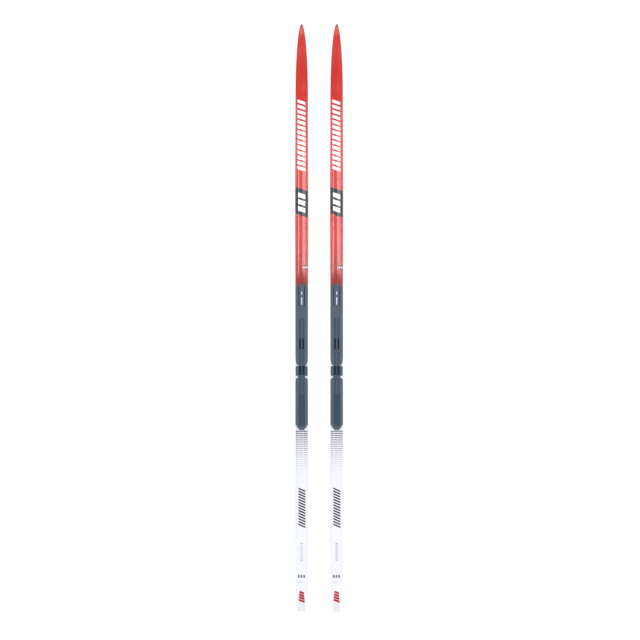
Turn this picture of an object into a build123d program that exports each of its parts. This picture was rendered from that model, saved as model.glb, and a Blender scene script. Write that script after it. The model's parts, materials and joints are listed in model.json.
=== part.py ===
from build123d import *
from math import hypot
import os

# A pair of classic cross country skis with bare binding plates, lying side by side on their bases.
# Millimetres. +Y runs towards the tips, +Z is up, +X is to the right of a skier who stands on them.
# The origin is on the ground, midway between the skis and midway along them.

# ---- The pair
ski_length = 2020.0
pair_spacing = 120.3  # centre line to centre line
sides = {"left": -1, "right": 1}

# ---- Ski seen from above
shoulder_width = 43.0  # where the pointed front begins
front_width = 45.2  # widest place, at the back of the front glide zone
waist_width = 43.6  # along the binding plates
rear_width = 44.0
heel_width = 42.6  # where the tail begins to narrow
tail_width = 26.5
tip_width = 15.0  # where the tip guard begins
tip_length = 250.0  # the pointed front, a long half ellipse
tail_taper_length = 42.0
tail_end_length = 31.0  # straight stretch behind the taper
tail_corner = 3.0

# ---- Ski seen from the side
tip_curve_length = 240.0
front_glide_length = 290.0  # front zone that lies on the snow
rear_glide_length = 250.0
tail_curve_length = 120.0
camber_peak_behind_middle = 60.0
camber = 22.0  # height of the base over the snow at the peak
tip_rise = 58.0
tip_slope = 0.52
tail_rise = 12.0
tail_slope = -0.25
tip_thickness = 5.8
tip_root_thickness = 9.5
front_glide_thickness = 15.0
peak_thickness = 27.0
rear_glide_thickness = 15.0
tail_root_thickness = 10.0
tail_thickness = 8.0

# ---- Ridged top: a flat crest, two shallow facets and a bevel on each side
crest_half_width = 3.0
first_facet_end = 10.5
first_facet_slope = 0.10
second_facet_slope = 0.20
bevel_slope = 0.60
bevel_width_tail = 3.0
bevel_width_glide = 6.5
bevel_width_plates = 4.0
bevel_width_tip = 1.0

# ---- Layers
base_thickness = 1.3
bottom_laminate_thickness = 0.9
edge_strip_width = 2.5
edge_strip_height = 2.2
topsheet_thickness = 0.6
top_laminate_thickness = 0.9
groove_half_width = 4.0
groove_depth = 0.8
groove_wall_slope = 0.8
groove_runout = 40.0

# ---- Ends and core stations
tip_guard_length = 12.0
guard_tongue = 15.0
tip_spacer_length = 90.0
tail_spacer_length = 75.0
block_overhang = 40.0  # binding block beyond the plates, at both ends

# ---- Binding plates, measured along the ski from the camber peak
plate_width = 43.0
nose_ahead_of_peak = 180.0
nose_arch_rise = 14.0
front_plate_length = 280.0
link_gap = 4.0
link_length = 34.0
rear_plate_gap = 7.0
rear_plate_length = 179.0
bond_thickness = 0.3
foot_height = 2.0  # underside of the rail lips over the crest of the ski
deck_height = 4.8
lip_overhang = 3.2
rail_inner = 12.0  # the deck is flat inside this half width and slopes outside it
rail_slope = 0.18
deck_root = 9.0  # how far the plate solids start below the crest before they are trimmed to the ski

# ---- Front plate details
pad_half_width = 8.6
pad_height = 0.5
pad_length = 78.0
pad_groove_width = 2.4
pad_groove_depth = 0.9
pad_groove_front = 9.0
rib_inner = 2.4
rib_outer = 9.0
rib_groove_depth = 0.7
rib_start = 120.0  # from the nose
pocket_start = 189.0
pocket_length = 38.0
pocket_depth = 3.0
seam_width = 1.2
seam_depth = 0.6
seam_gap = 3.0
mark_position = 132.0
mark_inner = 8.6
mark_length = 6.4
mark_width = 1.6
mark_depth = 0.4
heel_taper_length = 31.0
heel_taper_bulge = 10.3  # how near the end the full width would last along the sides' own line
heel_half_width = 16.0

# ---- Link plate details
link_width = 41.5
link_corner = 5.0
link_deck_height = 4.2
link_recess_half = 10.6
link_recess_depth = 1.6
link_spine_half = 2.4
link_spine_height = 1.0
link_bar_length = 3.4
tongue_half_width = 12.0
tongue_reach = 9.0
tongue_height = 1.9
fit_clearance = 0.3

# ---- Rear plate details
rear_nose_corner = 9.0
spine_length = 53.0
channel_half_width = 10.6
channel_depth = 1.2
step_corner = 4.0
shoulder_end = 15.0  # from the rear tip of the plate to where the full width ends
middle_step_end = 7.0
middle_step_half = 16.0
middle_step_height = 3.4
tongue_step_height = 2.4

# ---- Worked out
half_length = ski_length / 2
peak_y = -camber_peak_behind_middle
tip_root_y = half_length - tip_curve_length
front_glide_y = tip_root_y - front_glide_length
tail_root_y = -half_length + tail_curve_length
rear_glide_y = tail_root_y + rear_glide_length
shoulder_y = half_length - tip_length
taper_end_y = -half_length + tail_end_length
taper_start_y = taper_end_y + tail_taper_length
tip_guard_y = half_length - tip_guard_length
tail_guard_y = taper_end_y
nose_y = peak_y + nose_ahead_of_peak
front_plate_end_y = nose_y - front_plate_length
link_front_y = front_plate_end_y - link_gap
link_rear_y = link_front_y - link_length
rear_plate_y = link_rear_y - rear_plate_gap
rear_plate_end_y = rear_plate_y - rear_plate_length
cap_lift = base_thickness + edge_strip_height  # the cap stands on the edge strips
laminate_lift = base_thickness + bottom_laminate_thickness
cap_thickness = topsheet_thickness + top_laminate_thickness
lip_half = plate_width / 2
foot_half = lip_half - lip_overhang
reach = 2 * front_width  # half size of the trimming solids across the ski
beyond = 20.0  # how far trimming solids run past what they trim
ceiling = 400.0  # higher than anything here
open_top = ceiling / 2  # top of a cut that is open upwards, over the crest
bite = 1.0  # how far a raised piece starts inside what it stands on, so that they join
straightness = 1e-9  # a height line is straight where its ends lie this close to its slope

# ---- Height lines: rows of (y, z, slope), joined by cubic curves
stations = (-half_length, tail_root_y, rear_glide_y, peak_y, front_glide_y, tip_root_y, half_length)
base_heights = (tail_rise, 0, 0, camber, 0, 0, tip_rise)
base_slopes = (tail_slope, 0, 0, 0, 0, 0, tip_slope)
thicknesses = (tail_thickness, tail_root_thickness, rear_glide_thickness, peak_thickness,
               front_glide_thickness, tip_root_thickness, tip_thickness)
half_widths = (tail_width / 2, heel_width / 2, rear_width / 2, waist_width / 2,
               front_width / 2, shoulder_width / 2, tip_width / 2)
bevel_widths = (bevel_width_tail, bevel_width_tail, bevel_width_glide, bevel_width_plates,
                bevel_width_glide, bevel_width_glide, bevel_width_tip)


def smooth_slopes(values):
    """Slopes that run evenly through the values at the stations and level out at both ends."""
    inner = [(values[i + 1] - values[i - 1]) / (stations[i + 1] - stations[i - 1])
             for i in range(1, len(values) - 1)]
    return [0.0, *inner, 0.0]


def line_over_base(heights):
    """The height line that stands the given heights over the base."""
    rows = zip(stations, base_heights, base_slopes, heights, smooth_slopes(heights))
    return [(y, z + height, slope + extra) for y, z, slope, height, extra in rows]


def raised(line, height):
    return [(y, z + height, slope) for y, z, slope in line]


def facet_height(ridge):
    """What a bevel's plane adds over the crest at the middle line, for a bevel that starts at ridge."""
    return ((bevel_slope - second_facet_slope) * ridge
            + (second_facet_slope - first_facet_slope) * first_facet_end
            + first_facet_slope * crest_half_width)


base_line = list(zip(stations, base_heights, base_slopes))
crest_line = line_over_base(thicknesses)
ridges = [half - bevel for half, bevel in zip(half_widths, bevel_widths)]
bevel_line = line_over_base([t + facet_height(r) for t, r in zip(thicknesses, ridges)])
second_facet_base = ((second_facet_slope - first_facet_slope) * first_facet_end
                     + first_facet_slope * crest_half_width)
roof = (  # each slope of the top: its height line at the middle of the ski, and its fall per mm of width
    (raised(crest_line, first_facet_slope * crest_half_width), first_facet_slope),
    (raised(crest_line, second_facet_base), second_facet_slope),
    (bevel_line, bevel_slope),
)


def carried_on(start, end, y):
    """The row at y on the cubic curve between two rows, also outside them."""
    (y0, z0, s0), (y1, z1, s1) = start, end
    span = y1 - y0
    t = (y - y0) / span
    square = 3 * (z1 - z0) - span * (2 * s0 + s1)
    cube = 2 * (z0 - z1) + span * (s0 + s1)
    height = z0 + t * (span * s0 + t * (square + t * cube))
    return y, height, s0 + t * (2 * square + 3 * t * cube) / span


def lengthened(line):
    """The line carried on past both of its ends, so that trimming solids pass right through."""
    first = carried_on(line[0], line[1], line[0][0] - beyond)
    last = carried_on(line[-2], line[-1], line[-1][0] + beyond)
    return [first, *line[1:-1], last]


def curve_edges(line):
    """The line as edges in the plane x = 0: straight where its slope is even, cubic elsewhere."""
    edges = []
    for (y0, z0, s0), (y1, z1, s1) in zip(line, line[1:]):
        third = (y1 - y0) / 3
        if s0 == s1 and abs(z0 + s0 * (y1 - y0) - z1) < straightness:
            edges.append(Edge.make_line((0, y0, z0), (0, y1, z1)))
        else:
            edges.append(Bezier((0, y0, z0), (0, y0 + third, z0 + third * s0),
                                (0, y1 - third, z1 - third * s1), (0, y1, z1)))
    return edges


def side_face(lower, upper):
    """Flat face in the plane x = 0 between two height lines."""
    lower, upper = lengthened(lower), lengthened(upper)
    ends = [Edge.make_line((0, low[0], low[1]), (0, high[0], high[1]))
            for low, high in ((lower[0], upper[0]), (lower[-1], upper[-1]))]
    return Face(Wire(curve_edges(lower) + curve_edges(upper) + ends))


def slab(lower, upper):
    """Everything between two height lines, across the whole ski."""
    face = side_face(lower, upper).moved(Location((-reach, 0, 0)))
    return Solid.extrude(face, Vector(2 * reach, 0, 0))


def sloped_above(line, slope):
    """Everything above a surface that starts at the line and falls by slope towards +X."""
    top = [(line[0][0], ceiling, 0), (line[-1][0], ceiling, 0)]
    return Solid.extrude(side_face(line, top), Vector(reach, 0, -slope * reach))


def both_sides(solid):
    return [solid, solid.mirror(Plane.YZ)]


def prism(face):
    return Solid.extrude(face.moved(Location((0, 0, -ceiling))), Vector(0, 0, 2 * ceiling))


def narrowed(face, inset):
    """The outline drawn in by inset on each side, across the ski only."""
    if inset == 0:
        return face
    shifted = [face.moved(Location((side * inset, 0, 0))) for side in (1, -1)]
    return (shifted[0] & shifted[1]).faces()[0]


def block(y_from, y_to, x_from=-reach, x_to=reach):
    """Upright box between two stations, full height."""
    size = (x_to - x_from, y_to - y_from, 2 * ceiling)
    return Pos((x_from + x_to) / 2, (y_from + y_to) / 2, 0) * Box(*size)


def rounded(face, radius, is_corner):
    """The face with its corners rounded at the vertices that is_corner picks."""
    corners = [vertex for vertex in face.vertices() if is_corner(vertex)]
    return face.fillet_2d(radius, corners)


def ski_outline():
    tip = EllipticalCenterArc((0, shoulder_y), shoulder_width / 2, tip_length, arc_size=180)
    flank_points = ((shoulder_width / 2, shoulder_y), (front_width / 2, front_glide_y), (waist_width / 2, nose_y),
                    (waist_width / 2, rear_plate_end_y), (rear_width / 2, rear_glide_y),
                    (heel_width / 2, taper_start_y))
    along = (0, -1, 0)
    flank = Spline(*flank_points, tangents=(along, along))
    half_taper = tail_taper_length / 2
    taper = Bezier((heel_width / 2, taper_start_y), (heel_width / 2, taper_start_y - half_taper),
                   (tail_width / 2, taper_end_y + half_taper), (tail_width / 2, taper_end_y))
    end = Edge.make_line((tail_width / 2, taper_end_y), (tail_width / 2, -half_length))
    right = [flank, taper, end]
    left = [edge.mirror(Plane.YZ) for edge in right]
    back = Edge.make_line((tail_width / 2, -half_length), (-tail_width / 2, -half_length))
    face = Face(Wire([tip, *right, back, *left]))
    return rounded(face, tail_corner, lambda corner: corner.Y < -half_length + bite)


ski_face = ski_outline()


def ski_form(inset, lift):
    """The ski drawn in by inset at its top and sides, from lift over the base upwards."""
    form = prism(narrowed(ski_face, inset)) & slab(raised(base_line, lift), raised(crest_line, -inset))
    for line, slope in roof:
        drop = inset * hypot(1, slope)
        form = form.cut(*both_sides(sloped_above(raised(line, -drop), slope)))
    return form


def layer(inset, low, high):
    """A sheet that follows the base, between two heights over it."""
    return prism(narrowed(ski_face, inset)) & slab(raised(base_line, low), raised(base_line, high))


def guide_groove():
    """The groove's space in the base: sloping walls, and an end that runs out where the tip lifts."""
    runout_y = tip_root_y + groove_runout
    flat_end = (runout_y, groove_depth, 0)
    floor = [row for row in raised(base_line, groove_depth) if row[0] <= tip_root_y] + [flat_end]
    below = [(floor[0][0], -beyond, 0), (runout_y, -beyond, 0)]
    space = slab(below, floor) & block(-ski_length, ski_length, -groove_half_width, groove_half_width)
    wall = raised(floor, groove_wall_slope * groove_half_width - groove_depth)
    space = space.cut(*both_sides(sloped_above(wall, groove_wall_slope)))
    return space & block(tail_guard_y - beyond, runout_y)


def ski_pieces():
    whole = ski_form(0, 0)
    body = block(tail_guard_y, tip_guard_y)
    inner_lift = cap_lift - topsheet_thickness  # the cutting form starts lower, so that it cuts through
    outer_cap = ski_form(0, cap_lift)
    laminate_form = ski_form(topsheet_thickness, inner_lift)
    core_form = ski_form(cap_thickness, inner_lift)
    cap_range = slab(raised(base_line, cap_lift), raised(base_line, ceiling))
    core = (core_form & cap_range) + layer(edge_strip_width, laminate_lift, cap_lift)
    strips = layer(0, base_thickness, cap_lift) - layer(edge_strip_width, 0, cap_lift + beyond)
    strips = (strips & body).solids().sort_by(Axis.X)
    tongue_tip_y = tip_guard_y - guard_tongue
    tongue_tail_y = tail_guard_y + guard_tongue
    spacer_tip_y = tip_guard_y - tip_spacer_length
    spacer_tail_y = tail_guard_y + tail_spacer_length
    block_front_y = nose_y + block_overhang
    block_rear_y = rear_plate_end_y - block_overhang
    groove = guide_groove()
    tip_end = block(tip_guard_y, half_length + beyond)
    tail_end = block(-half_length - beyond, tail_guard_y)
    return {
        "running_base": (layer(0, 0, base_thickness) & body) - groove,
        "left_edge_strip": strips[0],
        "right_edge_strip": strips[1],
        "bottom_laminate": layer(edge_strip_width, base_thickness, laminate_lift) & body,
        "tip_guard": (whole & tip_end) + (core & block(tongue_tip_y, tip_guard_y)),
        "tip_spacer": core & block(spacer_tip_y, tongue_tip_y),
        "front_core": core & block(block_front_y, spacer_tip_y),
        "binding_block": core & block(block_rear_y, block_front_y),
        "rear_core": core & block(spacer_tail_y, block_rear_y),
        "tail_spacer": core & block(tongue_tail_y, spacer_tail_y),
        "tail_guard": (whole & tail_end) + (core & block(tail_guard_y, tongue_tail_y)) - groove,
        "top_laminate": ((laminate_form - core_form) & cap_range) & body,
        "topsheet": (outer_cap - laminate_form) & body,
    }, whole


def front_plate_outline():
    arch_y = nose_y - nose_arch_rise
    taper_y = front_plate_end_y + heel_taper_length
    arch = ThreePointArc((-lip_half, arch_y), (0, nose_y), (lip_half, arch_y))
    side = Edge.make_line((lip_half, arch_y), (lip_half, taper_y))
    taper = Bezier((lip_half, taper_y), (lip_half, front_plate_end_y + heel_taper_bulge),
                   (heel_half_width, front_plate_end_y))
    right = [side, taper]
    left = [edge.mirror(Plane.YZ) for edge in right]
    back = Edge.make_line((heel_half_width, front_plate_end_y), (-heel_half_width, front_plate_end_y))
    return Face(Wire([arch, *right, back, *left]))


def rectangle(half_width, y_from, y_to):
    centre = Location((0, (y_from + y_to) / 2, 0))
    return Face.make_rect(2 * half_width, y_to - y_from).moved(centre)


def link_outline():
    outline = rectangle(link_width / 2, link_rear_y, link_front_y)
    return rounded(outline, link_corner, lambda corner: True)


def tongue_outline(grow):
    """Footprint of the link's two hidden tongues and the web between them, grown by a clearance."""
    return rectangle(tongue_half_width + grow, link_rear_y - rear_plate_gap - tongue_reach - grow,
                     link_front_y + link_gap + tongue_reach + grow)


def rear_plate_outline():
    full = rounded(rectangle(lip_half, rear_plate_end_y + shoulder_end, rear_plate_y),
                   rear_nose_corner, lambda corner: corner.Y > rear_plate_y - bite)
    return rounded(full, step_corner, lambda corner: corner.Y < rear_plate_end_y + shoulder_end + bite)


def over_crest(face, low, high):
    """A solid with the given outline, between two heights over the crest of the ski."""
    return prism(face) & slab(raised(crest_line, low), raised(crest_line, high))


def grooves(x_inner, x_outer, y_from, y_to, floor_height):
    """A groove on each side of the middle line, open upwards from floor_height over the crest."""
    right = block(y_from, y_to, x_inner, x_outer)
    above = slab(raised(crest_line, floor_height), raised(crest_line, open_top))
    return [piece & above for piece in both_sides(right)]


def across(y_from, y_to, x_from, x_to, floor_height):
    above = slab(raised(crest_line, floor_height), raised(crest_line, open_top))
    return block(y_from, y_to, x_from, x_to) & above


def railed_plate(outline, foot):
    """A deck with sloping rails whose lips overhang a narrower foot."""
    plate = over_crest(outline, foot_height, deck_height) + over_crest(foot, -deck_root, foot_height)
    rail_line = raised(crest_line, deck_height + rail_slope * rail_inner)
    return plate.cut(*both_sides(sloped_above(rail_line, rail_slope)))


def front_plate_form():
    outline = front_plate_outline()
    plate = railed_plate(outline, narrowed(outline, lip_overhang))
    pad_rear_y = nose_y - pad_length
    pad = rectangle(pad_half_width, pad_rear_y, nose_y + beyond) & outline
    plate += over_crest(pad.faces()[0], deck_height - bite, deck_height + pad_height)
    pocket_y = nose_y - pocket_start
    seam_y = pocket_y - pocket_length - seam_gap
    rib_floor = deck_height - rib_groove_depth
    mark_y = nose_y - mark_position
    cuts = [
        *grooves(pad_half_width, pad_half_width + pad_groove_width, pad_rear_y,
                 nose_y - pad_groove_front, deck_height - pad_groove_depth),
        *grooves(rib_inner, rib_outer, pocket_y, nose_y - rib_start, rib_floor),
        *grooves(rib_inner, rib_outer, pocket_y - pocket_length, pocket_y, deck_height - pocket_depth),
        *grooves(rib_inner, rib_outer, front_plate_end_y - beyond, seam_y - seam_gap, rib_floor),
        across(seam_y - seam_width, seam_y, -lip_half, lip_half, deck_height - seam_depth),
        across(mark_y - mark_width, mark_y, -mark_inner - mark_length, -mark_inner,
               deck_height - mark_depth),
    ]
    return plate.cut(*cuts)


def link_plate_form():
    wings = over_crest(link_outline(), -deck_root, link_deck_height)
    recess_floor = link_deck_height - link_recess_depth
    bar_y = link_rear_y + link_bar_length
    wings -= across(bar_y, link_front_y + beyond, -link_recess_half, link_recess_half, recess_floor)
    spine = rectangle(link_spine_half, bar_y - bite, link_front_y)
    wings += over_crest(spine, recess_floor - bite, recess_floor + link_spine_height)
    return wings + over_crest(tongue_outline(0), -deck_root, tongue_height)


def rear_plate_form():
    outline = rear_plate_outline()
    plate = railed_plate(outline, narrowed(outline, lip_overhang))
    step_y = rear_plate_y - spine_length
    shoulder_y_end = rear_plate_end_y + shoulder_end
    middle = rectangle(middle_step_half, rear_plate_end_y + middle_step_end, shoulder_y_end + bite)
    tongue = rounded(rectangle(channel_half_width, rear_plate_end_y, shoulder_y_end + bite),
                     step_corner, lambda corner: corner.Y < rear_plate_end_y + bite)
    plate += over_crest(middle, -deck_root, middle_step_height)
    plate += over_crest(tongue, -deck_root, tongue_step_height)
    cuts = [
        *grooves(rib_inner, rib_outer, step_y, rear_plate_y + beyond, deck_height - rib_groove_depth),
        across(shoulder_y_end - seam_width, step_y, -channel_half_width, channel_half_width,
               deck_height - channel_depth),
        across(step_y - seam_width, step_y, -lip_half, lip_half, deck_height - seam_depth),
    ]
    return plate.cut(*cuts)


def plate_pieces(ski):
    """Binding plates seated on the ski over their bond films."""
    zone = block(rear_plate_end_y - beyond, nose_y + beyond)
    top = ski & zone
    film_top = top.moved(Location((0, 0, bond_thickness)))
    relief = over_crest(tongue_outline(fit_clearance), -deck_root, tongue_height + fit_clearance)
    forms = {
        "front_plate": front_plate_form() - relief,
        "link_plate": link_plate_form(),
        "rear_plate": rear_plate_form() - relief,
    }
    pieces = {}
    for name, form in forms.items():
        pieces[name] = form - film_top
        pieces[name + "_bond"] = (form & film_top) - top
    return pieces


ski, whole_ski = ski_pieces()
pieces = ski | plate_pieces(whole_ski)
os.makedirs("parts", exist_ok=True)
for side, direction in sides.items():
    place = Location((direction * pair_spacing / 2, 0, 0))
    for name, piece in pieces.items():
        export_step(piece.moved(place), f"parts/{side}_ski_{name}.step")
        print(side, name, len(piece.solids()), round(piece.volume), piece.is_valid)
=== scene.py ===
"""Looks for a pair of cross country skis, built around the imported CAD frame. +Y towards the tips, +Z up.

The frame is in metres. Sizes below are millimetres, in each ski's own frame: x from its middle line, y along it.
"""
import json
import math
from bisect import bisect_right
from functools import lru_cache

import bmesh
import bpy
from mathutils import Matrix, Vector
from mathutils.bvhtree import BVHTree

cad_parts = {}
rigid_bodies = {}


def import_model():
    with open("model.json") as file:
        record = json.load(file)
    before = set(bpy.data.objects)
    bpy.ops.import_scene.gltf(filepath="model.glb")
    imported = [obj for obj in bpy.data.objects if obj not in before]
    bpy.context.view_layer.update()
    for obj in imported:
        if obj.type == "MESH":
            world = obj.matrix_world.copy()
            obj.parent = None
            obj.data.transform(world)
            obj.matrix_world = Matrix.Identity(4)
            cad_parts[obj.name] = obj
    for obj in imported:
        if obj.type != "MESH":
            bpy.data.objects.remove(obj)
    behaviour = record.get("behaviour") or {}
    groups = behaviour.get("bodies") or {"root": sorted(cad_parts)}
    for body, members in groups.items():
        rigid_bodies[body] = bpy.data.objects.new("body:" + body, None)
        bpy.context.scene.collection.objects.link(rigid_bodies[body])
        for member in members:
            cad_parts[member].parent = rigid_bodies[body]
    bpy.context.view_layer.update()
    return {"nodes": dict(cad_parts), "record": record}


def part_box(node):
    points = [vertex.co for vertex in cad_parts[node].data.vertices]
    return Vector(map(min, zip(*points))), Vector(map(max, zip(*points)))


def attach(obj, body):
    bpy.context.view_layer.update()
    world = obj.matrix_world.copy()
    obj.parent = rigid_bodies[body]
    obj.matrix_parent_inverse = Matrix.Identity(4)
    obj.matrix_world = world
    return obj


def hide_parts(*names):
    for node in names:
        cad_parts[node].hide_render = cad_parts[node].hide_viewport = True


for leftover in list(bpy.data.objects):
    bpy.data.objects.remove(leftover)
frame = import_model()

SCENE = bpy.context.scene
MM = 0.001
SIDES = ("left", "right")


def node(side, name):
    return frame["nodes"][f"{side}_ski_{name}"]


def centre_x(side):
    low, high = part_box(f"{side}_ski_running_base")
    return (low.x + high.x) / 2


# ---- Camera: straight above the pair, tips towards the top of the picture
PICTURE = 640  # pixels
SCALE = 3.4365 * MM  # metres to one pixel at the height of the tops
CAMERA_HEIGHT = 14.0
TOPS_HEIGHT = 0.04
SENSOR = 36.0
CAMERA_SHIFT = (0.0028, -0.0058)  # metres from the middle of the pair


def add_camera():
    data = bpy.data.cameras.new("camera")
    data.sensor_width = SENSOR
    data.lens = SENSOR * (CAMERA_HEIGHT - TOPS_HEIGHT) / (PICTURE * SCALE)
    data.clip_end = 100
    camera = bpy.data.objects.new("camera", data)
    camera.location = (*CAMERA_SHIFT, CAMERA_HEIGHT)
    SCENE.collection.objects.link(camera)
    SCENE.camera = camera


# ---- Materials
class Finish:
    """A Principled material whose tone, roughness and relief come from patterns in the row frame."""

    def __init__(self, name):
        self.material = bpy.data.materials.new(name)
        self.material.use_nodes = True
        self.tree = self.material.node_tree
        self.bsdf = self.tree.nodes["Principled BSDF"]
        self.place = self.add("ShaderNodeTexCoord").outputs["Object"]

    def add(self, kind, **values):
        made = self.tree.nodes.new(kind)
        for key, value in values.items():
            setattr(made, key, value)
        return made

    def join(self, source, target):
        self.tree.links.new(source, target)

    def stretched(self, stretch):
        mapping = self.add("ShaderNodeMapping")
        mapping.inputs["Scale"].default_value = stretch
        self.join(self.place, mapping.inputs["Vector"])
        return mapping.outputs["Vector"]

    def noise(self, scale, stretch=(1, 1, 1), detail=3.0):
        made = self.add("ShaderNodeTexNoise")
        made.inputs["Scale"].default_value = scale
        made.inputs["Detail"].default_value = detail
        self.join(self.stretched(stretch), made.inputs["Vector"])
        return made.outputs["Fac"]

    def cells(self, scale, stretch=(1, 1, 1)):
        made = self.add("ShaderNodeTexVoronoi", feature="DISTANCE_TO_EDGE")
        made.inputs["Scale"].default_value = scale
        self.join(self.stretched(stretch), made.inputs["Vector"])
        return made.outputs["Distance"]

    def spread(self, source, low, high, start=0.35, end=0.65):
        """The stretch of the pattern from start to end, carried over to run from low to high."""
        made = self.add("ShaderNodeMapRange")
        made.inputs["From Min"].default_value = start
        made.inputs["From Max"].default_value = end
        made.inputs["To Min"].default_value = low
        made.inputs["To Max"].default_value = high
        self.join(source, made.inputs["Value"])
        return made.outputs["Result"]

    def tones(self, factor, dark, light):
        """Base colour between two tones. A Mix node shares socket names between its data types."""
        made = self.add("ShaderNodeMix", data_type="RGBA")
        first, second = [socket for socket in made.inputs if socket.type == "RGBA"]
        first.default_value = (*dark, 1)
        second.default_value = (*light, 1)
        self.join(factor, made.inputs[0])
        result = next(socket for socket in made.outputs if socket.type == "RGBA")
        self.join(result, self.bsdf.inputs["Base Color"])

    def relief(self, source, depth):
        made = self.add("ShaderNodeBump")
        made.inputs["Distance"].default_value = depth
        self.join(source, made.inputs["Height"])
        self.join(made.outputs["Normal"], self.bsdf.inputs["Normal"])


COAT_ROUGHNESS = 0.07
COAT_IOR = 1.4


def finish(name, dark, light, smooth, rough, mottle=60, grain=None, stretch=(1, 1, 1), coat=0.0, level=0.5,
           cells=None):
    """Two close tones and two roughnesses that follow a mottle, with a grain or cells of (scale, depth)."""
    made = Finish(name)
    pattern = made.noise(mottle, stretch)
    made.tones(made.spread(pattern, 0, 1), dark, light)
    made.join(made.spread(pattern, smooth, rough), made.bsdf.inputs["Roughness"])
    made.bsdf.inputs["Specular IOR Level"].default_value = level
    if coat:
        made.bsdf.inputs["Coat Weight"].default_value = coat
        made.bsdf.inputs["Coat Roughness"].default_value = COAT_ROUGHNESS
        made.bsdf.inputs["Coat IOR"].default_value = COAT_IOR
    if grain:
        scale, depth = grain
        made.relief(made.noise(scale, stretch, detail=2.0), depth)
    if cells:
        scale, depth = cells
        made.relief(made.cells(scale, stretch), depth)
    return made.material


FILM_SPECULAR = 0.15  # under the lacquer, which carries most of the gloss
FILM_ROUGHNESS = (0.28, 0.36)
FILM_MOTTLE = 35
FILM_RIPPLE = (420, 0.00002)  # scale, depth in metres
DULL_PLACE = 0.815  # metres along the ski: the lacquer is thin here, where the tip starts to lift
DULL_SPAN = (0.04, 0.12)  # metres to each side over which it becomes full
DULL_COAT = 0.10


def film(name, dark, light, gloss=1.0):
    """Gloss lacquer over a print, with the faint waviness of a pressed film. It is thin in one place."""
    made = Finish(name)
    pattern = made.noise(FILM_MOTTLE)
    made.tones(made.spread(pattern, 0, 1), dark, light)
    made.join(made.spread(pattern, *FILM_ROUGHNESS), made.bsdf.inputs["Roughness"])
    made.bsdf.inputs["Specular IOR Level"].default_value = FILM_SPECULAR
    made.bsdf.inputs["Coat Roughness"].default_value = COAT_ROUGHNESS
    made.bsdf.inputs["Coat IOR"].default_value = COAT_IOR
    axes = made.add("ShaderNodeSeparateXYZ")
    made.join(made.place, axes.inputs["Vector"])
    apart = made.add("ShaderNodeMath", operation="SUBTRACT")
    made.join(axes.outputs["Y"], apart.inputs[0])
    apart.inputs[1].default_value = DULL_PLACE
    distance = made.add("ShaderNodeMath", operation="ABSOLUTE")
    made.join(apart.outputs["Value"], distance.inputs[0])
    coat = made.spread(distance.outputs["Value"], DULL_COAT, gloss, *DULL_SPAN)
    made.join(coat, made.bsdf.inputs["Coat Weight"])
    scale, depth = FILM_RIPPLE
    made.relief(made.noise(scale, detail=2.0), depth)
    return made.material


LENGTHWISE = (1, 0.04, 1)  # stretches a pattern along the ski
GRAIN = 1600  # fine moulded grain, about 0.6 mm
FINISHES = {
    "sintered_base": lambda name: finish(name, (0.012, 0.012, 0.014), (0.03, 0.03, 0.034), 0.32, 0.48, mottle=900,
                                         grain=(2600, 0.00006), stretch=(1, 0.02, 1)),
    "edge_plastic": lambda name: finish(name, (0.014, 0.014, 0.016), (0.034, 0.034, 0.038), 0.30, 0.45, mottle=300,
                                        grain=(1200, 0.00003), stretch=LENGTHWISE),
    "fibre_laminate": lambda name: finish(name, (0.02, 0.02, 0.022), (0.09, 0.09, 0.095), 0.15, 0.3, mottle=1500,
                                          grain=(900, 0.00005), stretch=LENGTHWISE, coat=0.6),
    "foam_core": lambda name: finish(name, (0.66, 0.58, 0.40), (0.78, 0.71, 0.52), 0.7, 0.9, mottle=200,
                                     cells=(900, 0.0004)),
    "binding_block": lambda name: finish(name, (0.42, 0.37, 0.30), (0.56, 0.50, 0.42), 0.6, 0.8, mottle=260,
                                         cells=(1500, 0.0002)),
    "spacer_plastic": lambda name: finish(name, (0.12, 0.12, 0.13), (0.18, 0.18, 0.19), 0.35, 0.5, mottle=250,
                                          grain=(GRAIN, 0.00004)),
    "tip_guard_plastic": lambda name: finish(name, (0.22, 0.05, 0.04), (0.32, 0.075, 0.06), 0.3, 0.45,
                                             mottle=400, grain=(GRAIN, 0.00003)),
    "tail_guard_plastic": lambda name: finish(name, (0.60, 0.61, 0.65), (0.66, 0.67, 0.71), 0.3, 0.45,
                                              mottle=300, grain=(GRAIN, 0.00003)),
    "plate_plastic": lambda name: finish(name, (0.034, 0.056, 0.080), (0.044, 0.071, 0.100), 0.34, 0.46, mottle=500,
                                         grain=(GRAIN, 0.00006)),
    "link_plastic": lambda name: finish(name, (0.034, 0.055, 0.078), (0.043, 0.069, 0.096), 0.36, 0.48, mottle=500,
                                        grain=(GRAIN, 0.00006)),
    "adhesive": lambda name: finish(name, (0.25, 0.26, 0.28), (0.40, 0.41, 0.44), 0.12, 0.25, mottle=700,
                                    grain=(600, 0.00005), coat=0.5),
    "topsheet_film": lambda name: film(name, *INKS["red_film"]),
}
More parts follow.
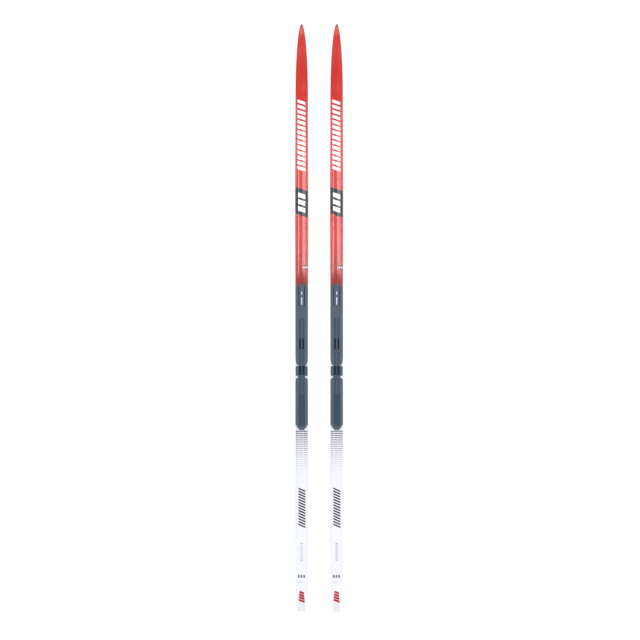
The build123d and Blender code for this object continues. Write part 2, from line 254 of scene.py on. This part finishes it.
INKS = {  # dark tone, light tone, and the gloss where it isn't full
    "red_film": ((0.52, 0.020, 0.013), (0.57, 0.027, 0.018)),
    "dark_red_film": ((0.28, 0.012, 0.009), (0.32, 0.020, 0.014)),
    "white_film": ((0.700, 0.722, 0.758), (0.722, 0.744, 0.780)),
    "dark_red_ink": ((0.25, 0.012, 0.010), (0.29, 0.020, 0.016)),
    "navy_ink": ((0.005, 0.013, 0.026), (0.010, 0.022, 0.040), 0.6),
    "white_ink": ((0.83, 0.83, 0.84), (0.90, 0.90, 0.91)),
    "black_ink": ((0.008, 0.009, 0.011), (0.016, 0.018, 0.021)),
    "slate_ink": ((0.040, 0.046, 0.060), (0.060, 0.068, 0.085)),
    "dot_ink": ((0.095, 0.103, 0.125), (0.120, 0.130, 0.152)),
    "tail_ink": ((0.100, 0.105, 0.120), (0.130, 0.135, 0.150)),
    "grey_ink": ((0.15, 0.155, 0.17), (0.20, 0.205, 0.22)),
    "crimson_ink": ((0.36, 0.006, 0.014), (0.43, 0.010, 0.020)),
    "pale_ink": ((0.56, 0.62, 0.70), (0.66, 0.72, 0.80)),
}
inks = {}


def ink(name):
    if name not in inks:
        inks[name] = film(name, *INKS[name])
    return inks[name]


def dress_nodes():
    """Every CAD node takes the finish of its material slot."""
    made = {slot: recipe(slot) for slot, recipe in FINISHES.items()}
    for part in frame["record"]["subparts"]:
        for slot in frame["nodes"][part["node"]].material_slots:
            slot.material = made[part["material_slot"]]


# ---- The skin: height lines through rows at these stations, and a top of flat facets with soft ridges
STATIONS = (-1010, -890, -640, -60, 480, 770, 1010)
BASE_HEIGHTS = (12, 0, 0, 22, 0, 0, 58)
BASE_SLOPES = (-0.25, 0, 0, 0, 0, 0, 0.52)
THICKNESSES = (8, 10, 15, 27, 15, 9.5, 5.8)
RIDGES = (10.25, 18.3, 15.5, 17.8, 16.1, 15, 6.5)  # half widths where the side bevels start
CREST_HALF = 3.0
FACET_END = 10.5
FIRST_SLOPE = 0.10
SECOND_SLOPE = 0.20
BEVEL_SLOPE = 0.60
CAP_LIFT = 3.5  # the skin's lower rim over the base
STRIP_LIFT = 2.4  # a height over the base at which the edge strips are met from the side
RIM_HEIGHT = 0.65  # the skin's least height over its rim: at the tip it laps over the edge strips
FIRST_DROP = FIRST_SLOPE * CREST_HALF
SECOND_DROP = FIRST_DROP + (SECOND_SLOPE - FIRST_SLOPE) * FACET_END
RIDGE_SOFTNESS = 1.7  # half width over which one facet turns into the next
SOFT_SAMPLES = 7


def level_slopes(values):
    inner = [(values[i + 1] - values[i - 1]) / (STATIONS[i + 1] - STATIONS[i - 1])
             for i in range(1, len(values) - 1)]
    return [0, *inner, 0]


def along(values, slopes, y):
    """Height at y on the cubic curves that join the values at the stations."""
    i = min(max(bisect_right(STATIONS, y) - 1, 0), len(STATIONS) - 2)
    span = STATIONS[i + 1] - STATIONS[i]
    t = (y - STATIONS[i]) / span
    s = 1 - t
    ends = values[i] * s * s * (1 + 2 * t) + values[i + 1] * t * t * (3 - 2 * t)
    return ends + span * s * t * (slopes[i] * s - slopes[i + 1] * t)


BEVEL_THICKNESSES = [t + (BEVEL_SLOPE - SECOND_SLOPE) * r + SECOND_DROP for t, r in zip(THICKNESSES, RIDGES)]
THICKNESS_SLOPES = level_slopes(THICKNESSES)
BEVEL_THICKNESS_SLOPES = level_slopes(BEVEL_THICKNESSES)


@lru_cache(maxsize=None)
def heights(y):
    """Base, crest, and the height at which the side bevels would meet over the middle line."""
    base = along(BASE_HEIGHTS, BASE_SLOPES, y)
    crest = base + along(THICKNESSES, THICKNESS_SLOPES, y)
    return base, crest, base + along(BEVEL_THICKNESSES, BEVEL_THICKNESS_SLOPES, y)


def skin_height(x, y):
    """Top of the skin: the lowest of its planes, averaged over the softness of a ridge, or its flat rim."""
    base, crest, bevel = heights(round(y, 3))
    total = 0
    for k in range(SOFT_SAMPLES):
        across = abs(x + RIDGE_SOFTNESS * (2 * k / (SOFT_SAMPLES - 1) - 1))
        total += min(crest, crest + FIRST_DROP - FIRST_SLOPE * across,
                     crest + SECOND_DROP - SECOND_SLOPE * across, bevel - BEVEL_SLOPE * across)
    return max(total / SOFT_SAMPLES, base + CAP_LIFT + RIM_HEIGHT)


TAPER_START = -930  # the tail is tapered behind this
PRINT_SPLIT = -20.0  # the red front meets the white rear here, under the front plate
DARK_START = 147.0  # plain dark red between here and the plate
SKIN_THICKNESS = 0.6
SKIN_COLUMNS = 16  # on each side of the middle line
EDGE_SOFTNESS = 0.5
EDGE_OUTER = ((0, 1.3), (0.3, 0.5))  # (inwards, down) from the edge, in shares of the softness
EDGE_INNER = ((1, 2), (1.2, 1.5))  # inwards in skin thicknesses, down in shares of the softness
INNER_INSET = 1.3  # skin thicknesses by which the inside of the top is narrower
RAY_START = 60.0
RAY_INSET = 0.3  # keeps rays off the skin's very ends and rim


def steps(start, end, size):
    count = max(1, round((end - start) / size))
    return [start + (end - start) * k / count for k in range(count)]


def skin_rows(tail, tip):
    """Places along the ski, closer together where the outline or the height turns quickly."""
    marks = [(tail, 4), (TAPER_START, 10), (PRINT_SPLIT, 9), (DARK_START, 10), (STATIONS[-2], 6), (tip, 0)]
    rows = []
    for (start, size), (end, _) in zip(marks, marks[1:]):
        rows += steps(start, end, size)
    return [*rows, tip]


def skin_section(y, half):
    """Outer points from rim to rim, each with its partner inside the film, as (x, z) pairs."""
    rim = heights(round(y, 3))[0] + CAP_LIFT
    flat = half - EDGE_SOFTNESS
    edge = skin_height(flat, y)
    outer, inner = [], []
    for sign in (-1, 1):
        side_outer = [(half, rim)] + [(half - inwards * EDGE_SOFTNESS, edge - down * EDGE_SOFTNESS)
                                      for inwards, down in EDGE_OUTER]
        side_inner = [(half - SKIN_THICKNESS, rim)] + [(half - inwards * SKIN_THICKNESS, edge - down * EDGE_SOFTNESS)
                                                       for inwards, down in EDGE_INNER]
        if sign > 0:
            columns = [flat * k / SKIN_COLUMNS for k in range(-SKIN_COLUMNS, SKIN_COLUMNS + 1)]
            outer += [(x, skin_height(x, y)) for x in columns]
            narrower = (half - INNER_INSET * SKIN_THICKNESS) / flat
            inner += [(x * narrower, skin_height(x, y) - SKIN_THICKNESS) for x in columns]
            side_outer.reverse()
            side_inner.reverse()
        outer += [(sign * x, z) for x, z in side_outer]
        inner += [(sign * x, z) for x, z in side_inner]
    return outer, inner


def new_piece(name, bm, materials, body, smooth_angle=35):
    mesh = bpy.data.meshes.new(name)
    bm.to_mesh(mesh)
    bm.free()
    for polygon in mesh.polygons:
        polygon.use_smooth = True
    mesh.set_sharp_from_angle(angle=math.radians(smooth_angle))
    for material in materials:
        mesh.materials.append(material)
    piece = bpy.data.objects.new(name, mesh)
    SCENE.collection.objects.link(piece)
    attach(piece, body)
    return piece


def surface_tree(piece):
    return BVHTree.FromPolygons([v.co for v in piece.data.vertices], [p.vertices for p in piece.data.polygons])


RED, DARK_RED, WHITE = range(3)  # material places on the skin


def add_skin(side):
    """The gloss topsheet as one closed film, in its three printed colours."""
    source = node(side, "topsheet")
    low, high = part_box(source.name)
    middle = centre_x(side)
    strip = node(side, "right_edge_strip")
    trees = [(surface_tree(source), CAP_LIFT + RAY_INSET), (surface_tree(strip), STRIP_LIFT)]

    def half_width(y):
        inside = min(max(y, low.y / MM + RAY_INSET), high.y / MM - RAY_INSET)
        hits = []
        for tree, lift in trees:
            start = Vector((middle + RAY_START * MM, inside * MM, (heights(inside)[0] + lift) * MM))
            hits.append(tree.ray_cast(start, Vector((-1, 0, 0)))[0])
        return max((hit.x - middle) / MM for hit in hits if hit)

    rows = skin_rows(low.y / MM, high.y / MM)
    bm = bmesh.new()
    rings = []
    for y in rows:
        outer, inner = skin_section(y, half_width(y))
        rings.append([[bm.verts.new((middle + x * MM, y * MM, z * MM)) for x, z in line] for line in (outer, inner)])
    for (outer, inner), (next_outer, next_inner), y, next_y in zip(rings, rings[1:], rows, rows[1:]):
        ring, next_ring = outer + inner[::-1], next_outer + next_inner[::-1]
        place = (y + next_y) / 2
        colour = RED if place > DARK_START else DARK_RED if place > PRINT_SPLIT else WHITE
        for k in range(len(ring)):
            after = (k + 1) % len(ring)
            face = bm.faces.new((ring[k], next_ring[k], next_ring[after], ring[after]))
            face.material_index = colour
    for (outer, inner), colour in ((rings[0], WHITE), (rings[-1], RED)):
        for k in range(len(outer) - 1):
            face = bm.faces.new((outer[k], outer[k + 1], inner[k + 1], inner[k]))
            face.material_index = colour
    bmesh.ops.recalc_face_normals(bm, faces=bm.faces)
    films = [ink(name) for name in ("red_film", "dark_red_film", "white_film")]
    skin = new_piece(f"{side}_topsheet_skin", bm, films, f"{side}_ski")
    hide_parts(source.name)


# ---- Prints: thin inked films laid on the skin, drawn as flat shapes
FILM = 0.10
LIFT = 0.06  # top of a print over the skin
CREASES = [sign * x for sign in (-1, 1) for x in (1.3, 3.0, 4.7, 8.8, 10.5, 12.2, 14.0, 15.8, 17.5, 19.2)]
PRINT_STEP = 8.0


def slanted(x0, x1, y0, y1, slant):
    """A bar between y0 and y1 whose ends fall by slant for each mm to the right."""
    return [(x0, y0 - slant * x0), (x1, y0 - slant * x1), (x1, y1 - slant * x1), (x0, y1 - slant * x0)]


def dot(x, y, radius, squash, sides=14):
    turns = [2 * math.pi * k / sides for k in range(sides)]
    return [(x + squash * radius * math.cos(turn), y + radius * math.sin(turn)) for turn in turns]


def cut(bm, place, direction, clear=False):
    everything = [*bm.verts, *bm.edges, *bm.faces]
    bmesh.ops.bisect_plane(bm, geom=everything, plane_co=place, plane_no=direction, clear_outer=clear)


def print_on(name, shapes, colour, half_width=None, surface=skin_height):
    """One print on each ski. Shapes are clipped to half_width, and cut where the surface under them turns."""
    for side in SIDES:
        bm = bmesh.new()
        for shape in shapes:
            bm.faces.new([bm.verts.new((x, y, 0)) for x, y in shape])
        if half_width:
            for sign in (-1, 1):
                cut(bm, (sign * half_width, 0, 0), (sign, 0, 0), clear=True)
        for x in CREASES:
            cut(bm, (x, 0, 0), (1, 0, 0))
        ys = [vert.co.y for vert in bm.verts]
        if max(max(y for _, y in shape) - min(y for _, y in shape) for shape in shapes) > PRINT_STEP:
            for y in steps(min(ys), max(ys), PRINT_STEP)[1:]:
                cut(bm, (0, y, 0), (0, 1, 0))
        bmesh.ops.extrude_face_region(bm, geom=list(bm.faces), use_keep_orig=True)
        bm.verts.index_update()
        finish_print(bm, name, side, colour, surface)


def finish_print(bm, name, side, colour, surface):
    """Lays the extruded print on its surface: the first half of its vertices is the underside."""
    middle = centre_x(side)
    under = len(bm.verts) // 2
    for vert in bm.verts:
        x, y, _ = vert.co
        lift = LIFT - FILM if vert.index < under else LIFT
        vert.co = (middle + x * MM, y * MM, (surface(x, y) + lift) * MM)
    bmesh.ops.recalc_face_normals(bm, faces=bm.faces)
    new_piece(f"{side}_{name}", bm, [ink(colour)], f"{side}_ski")


def rectangle(x0, x1, y0, y1):
    return slanted(x0, x1, y0, y1, 0)


def mirrored(x0, x1, y0, y1):
    """The same rectangle on both sides of the middle line."""
    return [rectangle(x0, x1, y0, y1), rectangle(-x1, -x0, y0, y1)]


def dots(columns, row_pitch, first, last, first_radius, last_radius, squash=0.89):
    """Rows of dots from first to last along the ski, in evenly changing sizes. Squash narrows them."""
    count = round(abs(last - first) / row_pitch)
    made = []
    for k in range(count + 1):
        share = k / count
        radius = first_radius + (last_radius - first_radius) * share
        made += [dot(x, first + (last - first) * share, radius, squash) for x in columns]
    return made


SLANT = 0.335
REAR_SLANT = 0.44
BLOCK = (353.5, 445.5)  # rear and front edge of the dark block
BLOCK_SIDE = 25.0  # beyond the ski's edge: the block is clipped to BLOCK_HALF
BLOCK_HALF = 21.5
BLOCK_BARS = (367.0, 390.5, 414.0)  # lower edges of the bars in the block
BAR_HALF = 12.0
BAR_LENGTH = 15.5
BAR_GAP = 0.1  # between a bar and the dark print around it


def block_with_bars():
    """The dark block as strips around the places of its pale bars."""
    inner = BAR_HALF + BAR_GAP
    strips = [slanted(-BLOCK_SIDE, -inner, *BLOCK, SLANT), slanted(inner, BLOCK_SIDE, *BLOCK, SLANT)]
    rear, front = BLOCK
    edges = [rear, *(y + offset for y in BLOCK_BARS for offset in (-BAR_GAP, BAR_LENGTH + BAR_GAP)), front]
    return strips + [slanted(-BAR_HALF, BAR_HALF, low, high, SLANT) for low, high in zip(edges[::2], edges[1::2])]


def add_prints():
    """Bars, dots, ticks and dashes, from the front to the rear."""
    print_on("front_bars", [slanted(-14.8, 12.6, 738.5 - 17.6 * k, 749.1 - 17.6 * k, SLANT) for k in range(14)],
             "white_ink")
    print_on("front_block", block_with_bars(), "navy_ink", half_width=BLOCK_HALF)
    print_on("block_bars", [slanted(-BAR_HALF, BAR_HALF, y, y + BAR_LENGTH, SLANT) for y in BLOCK_BARS], "white_ink")
    red_columns = [6.9 * k for k in range(-3, 4)]
    print_on("front_dots", dots(red_columns, 6.87, 267.2, 150.8, 1.3, 3.7), "dark_red_ink", half_width=20.6)
    print_on("side_tag", [rectangle(3.5, 21.3, 171.5, 178.5)], "pale_ink")
    print_on("side_tag_edges", [rectangle(6, 21.3, 167, 171.3), rectangle(6, 21.3, 178.7, 183)], "slate_ink")
    dark_columns = [4.55 * k for k in range(-4, 5)]
    print_on("rear_dots", dots(dark_columns, 7.4, -388.5, -543.9, 2.8, 0.4, 0.80), "dot_ink",
             half_width=20.8)
    print_on("rear_bars", [slanted(-11.5, 13, -593 - 9.5 * k, -587.5 - 9.5 * k, REAR_SLANT) for k in range(14)],
             "black_ink")
    print_on("rear_ticks", [rectangle(-4.5, 4, -777 - 7.1 * k, -775 - 7.1 * k) for k in range(9)], "grey_ink")
    print_on("rear_dashes", [slanted(-13 + 9.2 * k, -7 + 9.2 * k, -897 + 3 * k, -887 + 3 * k, SLANT)
                             for k in range(3)], "tail_ink")
    print_on("rear_line", [rectangle(-17, 6, -909.3, -908.3)], "grey_ink")
    print_on("tail_bars", [slanted(-8 - 0.9 * k, 8 + 0.9 * k, -948.6 - 9.4 * k, -940.4 - 9.4 * k, SLANT)
                           for k in range(4)], "crimson_ink")


# ---- Painted shade in the mouldings of the plates: darker films on the floors of their grooves, ribs, pockets and channels stand in for the shade that falls in these recesses
DECK = 4.8  # deck of the front and rear plates over the crest of the ski
LINK_DECK = 4.2
PAD_LIFT = 0.5
PAD_GROOVE_DEPTH = 0.9
RIB_DEPTH = 0.7
POCKET_DEPTH = 3.0
SEAM_DEPTH = 0.6
CHANNEL_DEPTH = 1.2
LINK_RECESS_DEPTH = 1.6
LINK_SPINE_DEPTH = 0.6
RIBS = (2.4, 9.0)  # inner and outer side of the ribs and pockets, from the middle line
PAINTED_GROOVE_SHADE = {  # painted shade for the recess floors: dark tone, light tone, specular level
    "rib_painted_shade": ((0.020, 0.046, 0.074), (0.028, 0.056, 0.086), 0.3),
    "channel_painted_shade": ((0.014, 0.038, 0.062), (0.020, 0.046, 0.074), 0.3),
    "pocket_painted_shade": ((0.003, 0.012, 0.024), (0.006, 0.020, 0.036), 0.12),
}


def over_crest(height):
    """A surface for prints that stays level across the ski."""
    return lambda x, y: heights(round(y, 3))[1] + height


def add_painted_groove_shade():
    """Painted shade: darker films on the floors of the grooves, ribs, pockets and channels, where the plates'
    recesses lie in shade, and the pale printed marks on the front pad.
    """
    for name, (dark, light, level) in PAINTED_GROOVE_SHADE.items():
        inks[name] = finish(name, dark, light, 0.36, 0.48, mottle=500, grain=(GRAIN, 0.00006), level=level)
    # Each darker film below is painted shade laid in a recess of the plates; only the pale pad marks at the end are
    # print.
    print_on("pad_grooves", mirrored(8.6, 11.0, 42, 111), "pocket_painted_shade", None,
             over_crest(DECK - PAD_GROOVE_DEPTH))
    print_on("front_ribs", mirrored(*RIBS, -69, 0) + mirrored(*RIBS, -158, -113.2), "rib_painted_shade", None,
             over_crest(DECK - RIB_DEPTH))
    print_on("pockets", mirrored(*RIBS, -107, -69), "pocket_painted_shade", None, over_crest(DECK - POCKET_DEPTH))
    print_on("front_seam", [rectangle(-14.5, 14.5, -111.2, -110)], "channel_painted_shade", None,
             over_crest(DECK - SEAM_DEPTH))
    print_on("link_recess", mirrored(2.4, 10.6, -194.6, -164), "pocket_painted_shade", None,
             over_crest(LINK_DECK - LINK_RECESS_DEPTH))
    print_on("link_spine", [rectangle(-2.4, 2.4, -194.6, -164)], "channel_painted_shade", None,
             over_crest(LINK_DECK - LINK_SPINE_DEPTH))
    print_on("rear_ribs", mirrored(*RIBS, -258, -207), "rib_painted_shade", None, over_crest(DECK - RIB_DEPTH))
    print_on("rear_channel", [rectangle(-10.6, 10.6, -369, -259.2)], "channel_painted_shade", None,
             over_crest(DECK - CHANNEL_DEPTH))
    print_on("pad_marks", [rectangle(-1.5, 2.0, 81, 92), rectangle(-1.5, 2.0, 47, 72)], "pale_ink", None,
             over_crest(DECK + PAD_LIFT))


# ---- Studio: an even white room and soft boxes whose mirror images fall on the facets of the tops
LIGHT_HEIGHT = 3.0
WORLD_STRENGTH = 0.80
FLOOR_DROP = 0.0005
FLOOR_SIZE = 40.0
FLOOR_GLOW = 0.80  # the floor is lit through, so that shadows on it stay faint
SOFT_BOXES = {  # centre, size, radiance
    "right_box": ((0.54, 0.81), (0.78, 0.22), 10.0),
    "left_box": ((-0.99, 0.81), (0.46, 0.22), 12.0),
    "far_right_box": ((1.40, 0.81), (0.80, 0.22), 8.0),
    "far_left_box": ((-1.60, 0.81), (0.60, 0.22), 2.5),
    "veil_box": ((0.10, 0.83), (2.80, 0.26), 1.4),
    "right_side_box": ((5.4, 1.1), (3.4, 0.8), 5.0),
    "left_side_box": ((-5.4, 1.1), (3.4, 0.8), 3.5),
    "tip_box": ((0.0, -2.4), (2.4, 1.4), 3.0),
    "right_plate_box": ((1.20, -0.25), (0.80, 1.20), 3.4),
    "left_plate_box": ((-1.20, -0.25), (0.80, 1.20), 3.4),
}


def soft_box(name, centre, size, radiance):
    data = bpy.data.lights.new(name, "AREA")
    data.shape = "RECTANGLE"
    data.size, data.size_y = size
    data.energy = radiance * math.pi * size[0] * size[1]
    light = bpy.data.objects.new(name, data)
    light.location = (*centre, LIGHT_HEIGHT)
    light.visible_camera = False
    SCENE.collection.objects.link(light)


def add_studio():
    world = bpy.data.worlds.new("world")
    world.use_nodes = True
    background = world.node_tree.nodes["Background"]
    background.inputs["Color"].default_value = (1, 1, 1, 1)
    background.inputs["Strength"].default_value = WORLD_STRENGTH
    SCENE.world = world
    SCENE.view_settings.view_transform = "Standard"
    for name, box in SOFT_BOXES.items():
        soft_box(name, *box)
    bpy.ops.mesh.primitive_plane_add(size=FLOOR_SIZE, location=(0, 0, -FLOOR_DROP))
    floor = bpy.context.object
    floor.name = "floor"
    surface = finish("floor", (0.30, 0.30, 0.30), (0.32, 0.32, 0.32), 0.8, 0.9, mottle=3, level=0.0)
    glow = surface.node_tree.nodes["Principled BSDF"]
    glow.inputs["Emission Color"].default_value = (1, 1, 1, 1)
    glow.inputs["Emission Strength"].default_value = FLOOR_GLOW
    floor.data.materials.append(surface)


add_camera()
add_studio()
dress_nodes()
for side in SIDES:
    add_skin(side)
add_prints()
add_painted_groove_shade()
